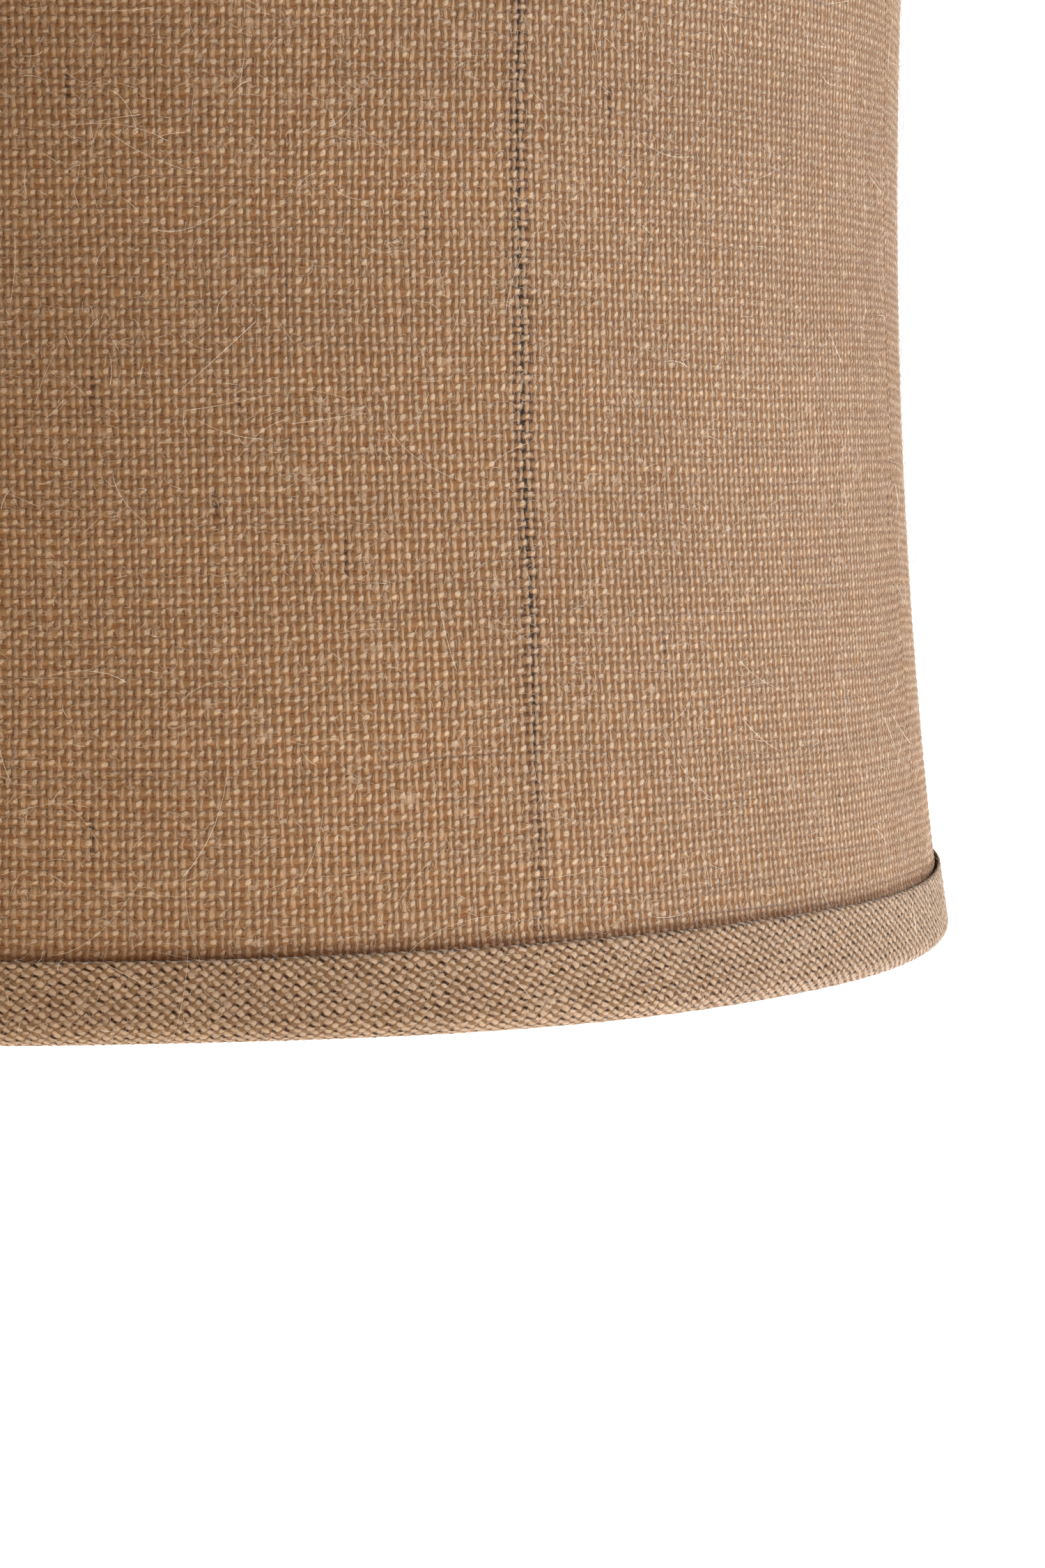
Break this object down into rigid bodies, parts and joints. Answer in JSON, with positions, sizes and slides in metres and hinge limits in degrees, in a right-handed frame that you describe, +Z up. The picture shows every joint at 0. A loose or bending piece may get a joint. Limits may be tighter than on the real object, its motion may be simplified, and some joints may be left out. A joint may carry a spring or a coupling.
{
  "type": "lamp shade",
  "caption": "Round softback lamp shade with a waisted burlap cover, bias-cut trims, a wire frame and a spider fitter for a table lamp.",
  "frame": {"origin": "centre of the lower fold, on the plane the shade stands on", "axes": "+Z up along the shade's axis, +X along the right of the front view, front towards -Y"},
  "size_m": [0.4066, 0.4066, 0.305],
  "materials": {
    "frame_steel": "dark oxidised steel wire",
    "fitter_steel": "dull plated steel",
    "cover_burlap": "natural jute burlap, open plain weave",
    "lining_cotton": "cream cotton lining cloth",
    "trim_burlap": "the same burlap cut on the bias"
  },
  "bodies": {
    "root": {"bottom_ring": "frame_steel", "top_ring": "frame_steel", "rib_1": "frame_steel", "rib_2": "frame_steel", "rib_3": "frame_steel", "rib_4": "frame_steel", "rib_5": "frame_steel", "rib_6": "frame_steel", "rib_7": "frame_steel", "rib_8": "frame_steel", "spider_arm_1": "fitter_steel", "spider_arm_2": "fitter_steel", "spider_arm_3": "fitter_steel", "fitter_washer": "fitter_steel", "cover_panel_1": "cover_burlap", "cover_panel_2": "cover_burlap", "cover_panel_3": "cover_burlap", "cover_panel_4": "cover_burlap", "lining_panel_1": "lining_cotton", "lining_panel_2": "lining_cotton", "lining_panel_3": "lining_cotton", "lining_panel_4": "lining_cotton", "bottom_trim": "trim_burlap", "top_trim": "trim_burlap"}
  },
  "joints": []
}
